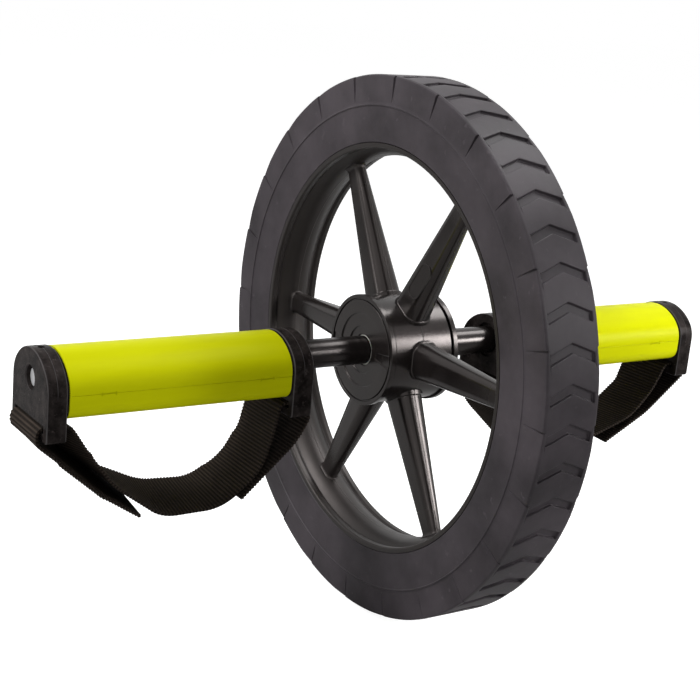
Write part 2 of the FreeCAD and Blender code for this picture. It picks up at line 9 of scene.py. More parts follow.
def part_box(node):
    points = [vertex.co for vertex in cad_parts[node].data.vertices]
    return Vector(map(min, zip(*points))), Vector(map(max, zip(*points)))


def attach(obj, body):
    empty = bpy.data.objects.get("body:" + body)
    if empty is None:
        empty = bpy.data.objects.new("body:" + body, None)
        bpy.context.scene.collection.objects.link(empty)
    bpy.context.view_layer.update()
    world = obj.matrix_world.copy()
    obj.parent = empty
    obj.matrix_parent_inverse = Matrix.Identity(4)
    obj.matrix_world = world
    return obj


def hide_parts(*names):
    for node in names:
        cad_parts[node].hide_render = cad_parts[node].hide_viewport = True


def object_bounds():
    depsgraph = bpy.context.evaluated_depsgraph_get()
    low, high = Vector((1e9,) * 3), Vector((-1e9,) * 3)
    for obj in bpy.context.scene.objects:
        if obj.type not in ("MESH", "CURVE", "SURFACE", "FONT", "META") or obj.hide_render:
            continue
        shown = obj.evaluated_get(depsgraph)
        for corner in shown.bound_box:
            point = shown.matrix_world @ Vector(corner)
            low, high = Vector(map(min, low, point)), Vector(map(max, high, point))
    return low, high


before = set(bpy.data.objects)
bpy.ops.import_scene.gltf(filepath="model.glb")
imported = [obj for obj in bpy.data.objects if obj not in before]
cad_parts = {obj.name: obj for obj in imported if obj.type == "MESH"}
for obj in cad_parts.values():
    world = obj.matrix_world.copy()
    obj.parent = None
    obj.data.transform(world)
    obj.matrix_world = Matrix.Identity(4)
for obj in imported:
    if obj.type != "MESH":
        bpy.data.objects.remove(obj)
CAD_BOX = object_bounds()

bl_info = {
    "name": "Ab wheel roller",
    "version": (1, 0, 0),
    "blender": (4, 5, 0),
    "location": "3D View > Sidebar > Roller",
    "description": "Models and finishes the pieces of an ab wheel roller around its packed frame",
    "category": "Object",
}

MM = 0.001
HANDS = ("left", "right")


def length_setting(name, description, size):
    """A setting for a length, its default in millimetres."""
    return FloatProperty(name=name, description=description, default=size * MM, unit="LENGTH")


def colour_setting(name, description, *channels):
    """A setting for a colour, its default as red, green and blue."""
    return FloatVectorProperty(
        name=name, description=description, default=channels, size=3, subtype="COLOR", min=0, max=1)


class RollerSizes(bpy.types.PropertyGroup):
    """Sizes of the modelled pieces."""

    tyre_sectors: IntProperty(
        name="Tyre sectors", description="Shoulder slots on each side of the tyre", default=24, min=6)
    groove_depth: length_setting("Groove depth", "Depth of the chevron grooves", 1.8)
    groove_border: length_setting("Groove border", "Plain edge of the tread beside the grooves", 3.2)
    chevron_lean: length_setting("Chevron lean", "How far a chevron's ends trail its point", 6)
    slot_depth: length_setting("Slot depth", "Depth of the shoulder slots", 1.5)
    spokes: IntProperty(name="Spokes", description="Spokes between hub and rim", default=6, min=3)
    spoke_root: FloatVectorProperty(
        name="Spoke root", description="Depth along the axle and width of a spoke by the hub",
        default=(16.9 * MM, 22.4 * MM), size=2, unit="LENGTH")
    spoke_tip: FloatVectorProperty(
        name="Spoke tip", description="Depth along the axle and width of a spoke by the rim",
        default=(7.7 * MM, 13.2 * MM), size=2, unit="LENGTH")
    hub_radius: length_setting("Hub radius", "Outside of the hub barrel", 32.6)
    cap_shoulder: length_setting("Cap shoulder", "Radius of the arch's sides on the handle caps", 16.5)
    arch_drop: length_setting("Arch drop", "How far the arch springs below the axle", 4)
    cap_collar: length_setting("Cap collar", "Thickness of the step between cap and grip", 1.2)
    cap_edge: length_setting("Cap edge", "Rounding of the caps' outlines", 0.9)
    grip_corner: length_setting("Grip corner", "Rounding under the grips", 8.5)
    strap_width: length_setting("Strap width", "Width of the webbing", 38)
    strap_thick: length_setting("Strap thickness", "Thickness of the webbing", 1.5)
    strap_rib: length_setting("Strap rib", "Distance from one cross rib to the next", 2.1)
    strap_yarn: length_setting("Strap yarn", "Distance from one lengthwise yarn to the next", 1.25)


class RollerColours(bpy.types.PropertyGroup):
    """Colours of the finishes."""

    rubber: colour_setting("Rubber", "Tyre", 0.0400, 0.0340, 0.0385)
    moulding: colour_setting("Moulding", "Wheel, hub covers and spacers", 0.0075, 0.0062, 0.0059)
    cap: colour_setting("Cap", "Handle caps", 0.0150, 0.0124, 0.0118)
    grip: colour_setting("Grip", "Grip shells", 0.53, 0.55, 0.0012)
    webbing: colour_setting("Webbing", "Straps", 0.0165, 0.0128, 0.0104)
    steel: colour_setting("Steel", "Axle and grub screws", 0.62, 0.62, 0.63)
    nylon: colour_setting("Nylon", "Axle bushes", 0.72, 0.70, 0.64)


# Small helpers for materials

def feed(tree, socket, value):
    """Links an input to another node's output or gives it a plain value."""
    if isinstance(value, bpy.types.NodeSocket):
        tree.links.new(value, socket)
    else:
        socket.default_value = value


def add_node(tree, kind, inputs=None, **settings):
    """Adds a shader node, sets its options and fills or links its inputs."""
    item = tree.nodes.new(kind)
    for key, value in settings.items():
        setattr(item, key, value)
    for key, value in (inputs or {}).items():
        feed(tree, item.inputs[key], value)
    return item


def new_finish(name):
    """An empty node material with its principled shader and its object coordinates."""
    material = bpy.data.materials.new(name + "_finish")
    material.use_nodes = True
    tree = material.node_tree
    shader = tree.nodes["Principled BSDF"]
    place = add_node(tree, "ShaderNodeTexCoord").outputs["Object"]
    return material, tree, shader, place


def noise(tree, place, scale, detail=4.0, rough=0.55):
    """Grey noise over the piece, with the scale in features to a metre."""
    item = add_node(tree, "ShaderNodeTexNoise",
                    {"Vector": place, "Scale": scale, "Detail": detail, "Roughness": rough})
    return item.outputs["Fac"]


def span(tree, value, low, high, to_low=0.0, to_high=1.0):
    """Maps one range of a value onto another, held at its ends."""
    item = add_node(tree, "ShaderNodeMapRange", {
        "Value": value, "From Min": low, "From Max": high, "To Min": to_low, "To Max": to_high})
    return item.outputs["Result"]


def mixed(tree, share, first, second):
    """Mixes two colours by a grey value."""
    item = add_node(tree, "ShaderNodeMix", {"Factor": share, 6: first, 7: second}, data_type="RGBA")
    return item.outputs[2]


def reckon(tree, operation, first, second=0.0):
    """One step of arithmetic on grey values."""
    return add_node(tree, "ShaderNodeMath", {0: first, 1: second}, operation=operation).outputs[0]


def bumped(tree, shader, heights):
    """Chains bumps, each a height, a strength and a distance, into the shader's normal."""
    normal = None
    for height, strength, distance in heights:
        inputs = {"Height": height, "Strength": strength, "Distance": distance}
        if normal is not None:
            inputs["Normal"] = normal
        normal = add_node(tree, "ShaderNodeBump", inputs).outputs["Normal"]
    tree.links.new(normal, shader.inputs["Normal"])


def line_at(tree, value, place, half, share):
    """A soft line of a given half width and share where a value comes to a place."""
    away = reckon(tree, "ABSOLUTE", reckon(tree, "SUBTRACT", value, place))
    return span(tree, away, 0.4 * half, half, share, 0.0)


def drawn_out(tree, place, share):
    """Coordinates squeezed along the axle, for marks that run that way."""
    item = add_node(tree, "ShaderNodeMapping", {"Vector": place, "Scale": (1.0, share, 1.0)})
    return item.outputs["Vector"]


def set_surface(tree, shader, tone, rough, specular=0.5, tint=(1.0, 1.0, 1.0)):
    """Gives the shader its colour and roughness, and how much and how warm it mirrors."""
    values = {"Base Color": tone, "Roughness": rough, "Specular IOR Level": specular,
              "Specular Tint": (*tint, 1.0)}
    for key, value in values.items():
        feed(tree, shader.inputs[key], value)


def shade(colour, factor):
    """A colour made lighter or darker, with its alpha."""
    return (*(min(1.0, channel * factor) for channel in colour), 1.0)


def rubber_finish(colour):
    """Matte tyre rubber with a dusty bloom, pale scuffs and a fine grain."""
    material, tree, shader, place = new_finish("tyre_rubber")
    cloud = noise(tree, place, 22.0, 6.0, 0.6)
    tone = mixed(tree, span(tree, cloud, 0.35, 0.68), shade(colour, 0.66), shade(colour, 1.45))
    speck = span(tree, noise(tree, place, 190.0, 3.0), 0.66, 0.76, 0.0, 0.5)
    tone = mixed(tree, speck, tone, shade(colour, 2.0))
    set_surface(tree, shader, tone, span(tree, cloud, 0.3, 0.7, 0.42, 0.54), specular=0.16)
    bumped(tree, shader, [(noise(tree, place, 60.0, 3.0), 0.12, 1.5 * MM),
                          (noise(tree, place, 1100.0, 2.0), 0.22, 0.12 * MM)])
    return material


def moulding_finish(colour):
    """Black moulded plastic, glossy on hub and spokes, dusty by the rim, with a seam round its middle."""
    material, tree, shader, place = new_finish("wheel_plastic")
    cloud = noise(tree, place, 35.0, 5.0)
    tone = mixed(tree, span(tree, cloud, 0.35, 0.7), shade(colour, 0.85), shade(colour, 1.3))
    across = add_node(tree, "ShaderNodeSeparateXYZ", {"Vector": place}).outputs["Y"]
    seam = span(tree, reckon(tree, "ABSOLUTE", across), 0.10 * MM, 0.34 * MM, 1.0, 0.0)
    tone = mixed(tree, seam, tone, shade(colour, 2.4))
    side_view = add_node(tree, "ShaderNodeVectorMath", {0: place, 1: (1.0, 0.0, 1.0)}, operation="MULTIPLY")
    radius = add_node(tree, "ShaderNodeVectorMath", {0: side_view.outputs["Vector"]}, operation="LENGTH")
    dust = span(tree, radius.outputs["Value"], 100 * MM, 116 * MM, 0.0, 0.2)
    rough = reckon(tree, "ADD", span(tree, cloud, 0.3, 0.7, 0.2, 0.27), dust)
    set_surface(tree, shader, tone, rough, specular=0.38, tint=(1.0, 0.9, 0.87))
    bumped(tree, shader, [(noise(tree, place, 90.0, 3.0), 0.05, 1.0 * MM),
                          (noise(tree, place, 1400.0, 2.0), 0.08, 0.08 * MM),
                          (seam, 0.5, 0.25 * MM)])
    return material


def cap_finish(colour, edges, seams):
    """Scuffed black plastic of the handle caps, with painted highlights as pale lines at the edges and on the
    mould seams, placed along the axle.
    """
    material, tree, shader, place = new_finish("cap_plastic")
    cloud = noise(tree, place, 120.0, 6.0, 0.65)
    tone = mixed(tree, span(tree, cloud, 0.38, 0.66), shade(colour, 0.55), shade(colour, 2.0))
    scuff = span(tree, noise(tree, place, 420.0, 4.0, 0.7), 0.6, 0.72, 0.0, 0.7)
    tone = mixed(tree, scuff, tone, shade(colour, 4.5))
    sides = add_node(tree, "ShaderNodeSeparateXYZ", {"Vector": place})
    along = reckon(tree, "ABSOLUTE", sides.outputs["Y"])
    over_arch = span(tree, sides.outputs["Z"], -6 * MM, -2 * MM)
    # A pale grey painted highlight for the rounded edges and the ridges of the mould seams.
    painted_highlight_and_wear = (0.125, 0.118, 0.12, 1.0)
    # Painted highlight lines along the rounded edges of each plate.
    for edge in edges:
        tone = mixed(tree, line_at(tree, along, edge, 0.4 * MM, 0.45), tone, painted_highlight_and_wear)
    # Painted highlight along the ridge of each mould seam, over the arch only.
    for seam in seams:
        pale = reckon(tree, "MULTIPLY", line_at(tree, along, seam, 0.22 * MM, 0.4), over_arch)
        tone = mixed(tree, pale, tone, painted_highlight_and_wear)
    rough = span(tree, cloud, 0.3, 0.7, 0.15, 0.28)
    set_surface(tree, shader, tone, rough, specular=0.025, tint=(1.0, 0.9, 0.85))
    bumped(tree, shader, [(noise(tree, place, 160.0, 4.0), 0.08, 0.8 * MM),
                          (noise(tree, place, 1500.0, 2.0), 0.15, 0.08 * MM)])
    return material


def grip_finish(colour):
    """Smooth lime plastic with faint flow marks along the grip."""
    material, tree, shader, place = new_finish("grip_lime")
    flow = noise(tree, drawn_out(tree, place, 0.12), 90.0, 4.0)
    tone = mixed(tree, span(tree, flow, 0.35, 0.68), shade(colour, 0.95), shade(colour, 1.04))
    speck = span(tree, noise(tree, place, 380.0, 2.0), 0.72, 0.8, 0.0, 0.25)
    tone = mixed(tree, speck, tone, shade(colour, 0.7))
    set_surface(tree, shader, tone, span(tree, flow, 0.3, 0.7, 0.3, 0.4), specular=0.03)
    bumped(tree, shader, [(flow, 0.05, 0.8 * MM), (noise(tree, place, 1300.0, 2.0), 0.07, 0.08 * MM)])
    return material


def webbing_finish(colour):
    """Dark webbing: painted highlights on the cross ribs, broken into beads by the lengthwise yarns, and
    painted shade in the gaps between them.
    """
    material, tree, shader, place = new_finish("webbing")
    flat = add_node(tree, "ShaderNodeUVMap", uv_map="UVMap").outputs["UV"]
    sides = add_node(tree, "ShaderNodeSeparateXYZ", {"Vector": flat})
    rib = reckon(tree, "COSINE", reckon(tree, "MULTIPLY", sides.outputs["X"], 2 * pi))
    yarn = reckon(tree, "COSINE", reckon(tree, "MULTIPLY", sides.outputs["Y"], 2 * pi))
    # The bead pattern follows the ribs of the band's shape; as colour it paints highlights on the rib tops
    # and shade in the gaps.
    bead = reckon(tree, "ADD", reckon(tree, "MULTIPLY", rib, -0.7), reckon(tree, "MULTIPLY", yarn, 0.3))
    fuzz = noise(tree, place, 900.0, 4.0, 0.7)
    # Random darker wear over the band.
    painted_highlight_and_wear = noise(tree, place, 45.0, 3.0)
    # Painted highlight on the bead tops and painted shade in the gaps, from the bead pattern.
    tone = mixed(tree, span(tree, bead, -0.6, 0.9), shade(colour, 0.12), shade(colour, 3.8))
    tone = mixed(tree, span(tree, fuzz, 0.35, 0.75, 0.0, 0.5), tone, shade(colour, 2.6))
    tone = mixed(tree, span(tree, painted_highlight_and_wear, 0.3, 0.7, 0.45, 0.0), tone, shade(colour, 0.5))
    set_surface(tree, shader, tone, 0.85, specular=0.07, tint=(1.0, 0.91, 0.85))
    bumped(tree, shader, [(bead, 0.7, 0.4 * MM), (fuzz, 0.3, 0.15 * MM)])
    return material


def steel_finish(colour):
    """Bright drawn steel with fine lines along the rod."""
    material, tree, shader, place = new_finish("steel")
    lines = noise(tree, drawn_out(tree, place, 0.03), 1600.0, 3.0)
    tone = mixed(tree, span(tree, lines, 0.3, 0.7), shade(colour, 0.88), shade(colour, 1.08))
    set_surface(tree, shader, tone, span(tree, lines, 0.3, 0.7, 0.42, 0.56))
    shader.inputs["Metallic"].default_value = 1.0
    bumped(tree, shader, [(lines, 0.1, 0.05 * MM)])
    return material


def nylon_finish(colour):
    """Natural nylon of the bushes, slightly waxy."""
    material, tree, shader, place = new_finish("bush_nylon")
    cloud = noise(tree, place, 200.0, 4.0)
    tone = mixed(tree, span(tree, cloud, 0.35, 0.7), shade(colour, 0.93), shade(colour, 1.03))
    set_surface(tree, shader, tone, 0.45)
    shader.inputs["Subsurface Weight"].default_value = 0.1
    bumped(tree, shader, [(cloud, 0.08, 0.3 * MM)])
    return material


# Small helpers for modelling

def edit_mode(on=True):
    """Enters or leaves edit mode."""
    bpy.ops.object.mode_set(mode="EDIT" if on else "OBJECT")


def clear_selection():
    """Leaves edit mode and deselects every object."""
    if bpy.context.object and bpy.context.object.mode != "OBJECT":
        edit_mode(False)
    bpy.ops.object.select_all(action="DESELECT")


def activate(piece):
    """Makes one piece the only selected one."""
    clear_selection()
    piece.select_set(True)
    bpy.context.view_layer.objects.active = piece


def settle():
    """Puts the selected piece's place, turn and scale into its mesh."""
    bpy.ops.object.transform_apply(location=True, rotation=True, scale=True)


def face_outwards():
    """Turns every face of the mesh in edit mode outwards."""
    bpy.ops.mesh.select_all(action="SELECT")
    bpy.ops.mesh.normals_make_consistent(inside=False)


def close_seams(gap):
    """Merges the points of the mesh in edit mode that lie within a gap and turns its faces outwards."""
    bpy.ops.mesh.select_all(action="SELECT")
    bpy.ops.mesh.remove_doubles(threshold=gap)
    face_outwards()


def begin_line(name, start):
    """A new piece in edit mode that holds one selected vertex."""
    clear_selection()
    bpy.ops.mesh.primitive_plane_add(size=MM)
    piece = bpy.context.object
    piece.name = piece.data.name = name
    edit_mode()
    bpy.ops.mesh.select_mode(type="VERT")
    bpy.ops.mesh.merge(type="CENTER")
    bpy.ops.transform.translate(value=start)
    return piece


def draw_line(name, points, closed=True):
    """Draws a line of vertices by extruding one vertex from point to point."""
    spots = [Vector(point) for point in points]
    piece = begin_line(name, spots[0])
    for before, after in zip(spots, spots[1:]):
        bpy.ops.mesh.extrude_vertices_move(TRANSFORM_OT_translate={"value": after - before})
    bpy.ops.mesh.select_all(action="SELECT")
    if closed:
        edit_mode(False)
        ends = (0, len(spots) - 1)
        for vertex in piece.data.vertices:
            vertex.select = vertex.index in ends
        for part in (*piece.data.edges, *piece.data.polygons):
            part.select = False
        edit_mode()
        bpy.ops.mesh.edge_face_add()
        bpy.ops.mesh.select_all(action="SELECT")
    return piece


def extrude(*offset):
    """Extrudes the selected part of the mesh by an offset."""
    bpy.ops.mesh.extrude_region_move(TRANSFORM_OT_translate={"value": offset})


def turn_round(steps):
    """Spins the selected outline once round the axle and closes the seam."""
    bpy.ops.mesh.spin(steps=steps, angle=2 * pi, center=(0, 0, 0), axis=(0, 1, 0))
    close_seams(0.01 * MM)
    edit_mode(False)


def repeat_round(copies):
    """Copies the selected part of the mesh evenly round the axle."""
    bpy.ops.mesh.select_all(action="SELECT")
    bpy.ops.mesh.spin(steps=copies - 1, dupli=True, angle=2 * pi * (copies - 1) / copies,
                      center=(0, 0, 0), axis=(0, 1, 0))
    bpy.ops.mesh.select_all(action="SELECT")


def middle_of(mesh, edge):
    """The middle of an edge."""
    return sum((mesh.vertices[index].co for index in edge.vertices), Vector()) / 2


def select_where(piece, kind, test):
    """Selects the vertices, edges or faces of a mesh for which the test of their centre and item holds."""
    edit_mode()
    bpy.ops.mesh.select_mode(type=kind)
    bpy.ops.mesh.select_all(action="DESELECT")
    edit_mode(False)
    mesh = piece.data
    items = {"VERT": mesh.vertices, "EDGE": mesh.edges, "FACE": mesh.polygons}[kind]
    for item in items:
        if kind == "VERT":
            centre = item.co
        elif kind == "FACE":
            centre = item.center
        else:
            centre = middle_of(mesh, item)
        item.select = test(centre, item)
    edit_mode()


def round_ends(piece, start, stop, offset):
    """Bevels the outlines of a slab's two end faces."""
    select_where(piece, "EDGE", lambda centre, edge: (
        min(abs(centre.y - start), abs(centre.y - stop)) < 1e-6))
    bpy.ops.mesh.bevel(offset=offset, segments=3, affect="EDGES")


def keep_selected(piece, test):
    """Leaves only those of the selected edges selected for which the test of their centre holds."""
    edit_mode(False)
    mesh = piece.data
    for edge in mesh.edges:
        edge.select = edge.select and test(middle_of(mesh, edge))
    for item in (*mesh.vertices, *mesh.polygons):
        item.select = False
    edit_mode()


def apply_modifier(piece, kind, **settings):
    """Adds a modifier, sets it and applies it."""
    activate(piece)
    modifier = piece.modifiers.new(kind.title(), kind)
    for key, value in settings.items():
        setattr(modifier, key, value)
    bpy.ops.object.modifier_apply(modifier=modifier.name)


def soften(piece, width, segments, sharper_than):
    """Rounds those edges of a piece that turn by more than an angle in degrees."""
    apply_modifier(piece, "BEVEL", width=width, segments=segments, limit_method="ANGLE",
                   angle_limit=radians(sharper_than))


def finish_piece(piece, body, material, nodes=(), smooth_below=35.0):
    """Smooths a piece, gives it its material, ties it to its body and hides the nodes it stands for."""
    activate(piece)
    settle()
    bpy.ops.object.shade_smooth_by_angle(angle=radians(smooth_below))
    apply_modifier(piece, "WEIGHTED_NORMAL", mode="FACE_AREA", weight=50, keep_sharp=True)
    piece.data.materials.clear()
    piece.data.materials.append(material)
    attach(piece, body)
    if nodes:
        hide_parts(*nodes)


def arc(centre, radius, start, stop, steps):
    """Points of an arc of radius and place along the axle, with angles in degrees."""
    turns = (radians(start + (stop - start) * index / steps) for index in range(steps + 1))
    return [(centre[0] + radius * cos(turn), centre[1] + radius * sin(turn)) for turn in turns]


def as_outline(points):
    """Pairs of radius and place along the axle as points of the XY plane."""
    return [(radius, place, 0.0) for radius, place in points]


def both_sides(half):
    """An outline's half on the +Y side followed by its mirror image."""
    return half + [(radius, -place) for radius, place in reversed(half) if abs(place) > 1e-9]


def arch(half, top, foot, shoulder, drop, corner):
    """A cap's outline: an arch of three tangent arcs on straight legs with rounded lower corners."""
    rise = top + drop
    crown = (half ** 2 - 2 * half * shoulder + rise ** 2) / (2 * (rise - shoulder))
    tilt = degrees(atan2(crown - rise, half - shoulder))
    points = arc((half - shoulder, -drop), shoulder, 0, tilt, 12)
    points += arc((0, top - crown), crown, tilt, 180 - tilt, 30)[1:]
    points += arc((shoulder - half, -drop), shoulder, 180 - tilt, 180, 12)[1:]
    points += arc((corner - half, corner - foot), corner, 180, 270, 5)
    points += arc((half - corner, corner - foot), corner, 270, 360, 5)
    return points


def slab(name, outline, stations):
    """An outline of x and z drawn at the first station along the axle and extruded through the others."""
    piece = draw_line(name, [(x, stations[0], z) for x, z in outline])
    bpy.ops.mesh.edge_face_add()
    for before, after in zip(stations, stations[1:]):
        extrude(0, after - before, 0)
    face_outwards()
    return piece


def block(centre, extent):
    """A box to cut with."""
    clear_selection()
    bpy.ops.mesh.primitive_cube_add(size=1.0, location=centre)
    bpy.context.object.scale = extent
    settle()
    return bpy.context.object


def drill(centre, radius, depth, upright=False):
    """A cylinder to cut with, along the axle or upright."""
    clear_selection()
    bpy.ops.mesh.primitive_cylinder_add(
        vertices=64, radius=radius, depth=depth, location=centre, rotation=(0 if upright else pi / 2, 0, 0))
    settle()
    return bpy.context.object


def cut(piece, cutter):
    """Takes a cutter's shape out of a piece and removes the cutter."""
    apply_modifier(piece, "BOOLEAN", object=cutter, operation="DIFFERENCE", solver="EXACT")
    bpy.data.objects.remove(cutter)


def dress_pair(piece, part, body, material):
    """Finishes a left-hand piece and its copy turned half a turn about Z."""
    activate(piece)
    bpy.ops.object.duplicate()
    other = bpy.context.object
    other.rotation_euler = (0, 0, pi)
    for hand, item in zip(HANDS, (piece, other)):
        item.name = item.data.name = f"{hand}_{part}_dressed"
        finish_piece(item, body, material, [f"{hand}_{part}"])


class RollerOperator:
    """What the operators of the roller share."""

    bl_options = {"REGISTER", "UNDO"}

    @property
    def sizes(self):
        return bpy.context.scene.roller_sizes

    @property
    def colours(self):
        return bpy.context.scene.roller_colours


class ROLLER_OT_tyre(RollerOperator, bpy.types.Operator):
    """Models the tyre from one sector with its shoulder slots and chevron grooves"""

    bl_idname = "roller.tyre"
    bl_label = "Tyre"

    def execute(self, context):
        sizes = self.sizes
        edge, ridge_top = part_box("tyre")[1].xy
        ridge_rise, foot, slope, crest = 0.7 * MM, 1.4 * MM, 0.6 * MM, 0.25 * MM
        half, corner = ridge_top - ridge_rise, 1.3 * MM
        bead, core, core_half = 124.8 * MM, 128.1 * MM, 13.1 * MM
        ridge, shoulder = 147 * MM, 149.2 * MM
        border = half - sizes.groove_border
        side = [
            (core, 0.0), (core, core_half), (bead, core_half), (bead, 16.6 * MM),
            (bead + 0.5 * MM, 17.25 * MM), (bead + 6 * MM, 17.9 * MM), (136 * MM, 18.4 * MM),
            (ridge - foot, half), (ridge - slope, half + 0.2 * MM), (ridge - crest, ridge_top),
            (ridge + crest, ridge_top), (ridge + slope, half + 0.2 * MM), (ridge + foot, half),
            (shoulder, half), (shoulder + 0.3 * MM, half), (edge - corner, half),
            (edge - 0.45 * MM, half - 0.4 * MM), (edge, half - corner),
            (edge, border), (edge, border / 2), (edge, 0.0),
        ]
        outline = side + [(radius, -place) for radius, place in reversed(side[:-1])]
        self.sector = 2 * pi / sizes.tyre_sectors
        self.columns = 16
        self.start = -self.sector / 4
        level, rise = cos(self.start), -sin(self.start)
        points = [(radius * level, place, radius * rise) for radius, place in outline]
        piece = draw_line("tyre_dressed", points, closed=False)
        bpy.ops.mesh.spin(steps=self.columns, angle=self.sector, center=(0, 0, 0), axis=(0, 1, 0))
        close_seams(0.01 * MM)
        self.sink_slots(piece, shoulder, border)
        self.sink_grooves(piece, edge, border)
        repeat_round(sizes.tyre_sectors)
        close_seams(0.02 * MM)
        edit_mode(False)
        finish_piece(piece, "rolling_wheel", rubber_finish(self.colours.rubber), ["tyre"])
        return {"FINISHED"}

    def column(self, centre):
        """Which column of the sector a point lies in, counted from the sector's start."""
        turn = (atan2(-centre.z, centre.x) - self.start + pi) % (2 * pi) - pi
        return turn / self.sector * self.columns

    def sink_slots(self, piece, inner, border):
        """Moves columns of each shoulder together into a narrow slit with a gentle ramp behind it."""
        step = self.columns // 4
        # For each column that moves, its new place in columns past the slit and its share of the depth
        slit = {step + 1: (0.1, 1.0), step + 2: (0.4, 1.0), step + 3: (0.5, 0.4), step + 4: (2.6, 0.2)}
        edit_mode(False)
        for vertex in piece.data.vertices:
            place = vertex.co
            column = round(self.column(place)) % self.columns
            radius = hypot(place.x, place.z)
            if column not in slit or radius < inner - 0.1 * MM or abs(place.y) < border + 0.1 * MM:
                continue
            ahead, share = slit[column]
            place.rotate(Quaternion((0, 1, 0), (step + ahead - column) * self.sector / self.columns))
            if radius > inner + MM:
                place.y -= (1 if place.y > 0 else -1) * self.sizes.slot_depth * share
        edit_mode()

    def sink_grooves(self, piece, edge, border):
        """Sinks two chevron grooves, then turns the tread's rings against one another for their points."""
        quarter = self.columns / 4
        select_where(piece, "FACE", lambda centre, face: (
            hypot(centre.x, centre.z) > edge - 0.5 * MM and abs(centre.y) < border
            and abs(self.column(centre) % (2 * quarter) - quarter) < 1))
        bpy.ops.mesh.extrude_region_shrink_fatten(
            TRANSFORM_OT_shrink_fatten={"value": -self.sizes.groove_depth})
        for share in (0.5, 1.0):
            select_where(piece, "VERT", lambda centre, vertex: (
                abs(abs(centre.y) - share * border) < 0.1 * MM
                and hypot(centre.x, centre.z) > edge - self.sizes.groove_depth - 0.3 * MM))
            bpy.ops.transform.rotate(
                value=-self.sizes.chevron_lean / edge * share, orient_axis="Y", center_override=(0, 0, 0))
        bpy.ops.mesh.select_mode(type="EDGE")
        bpy.ops.mesh.edges_select_sharp(sharpness=radians(50))
        keep_selected(piece, lambda centre: (
            hypot(centre.x, centre.z) > edge - 1.5 * self.sizes.groove_depth
            and abs(centre.y) < border + 0.1 * MM))
        bpy.ops.mesh.bevel(offset=0.55 * MM, segments=3, affect="EDGES")


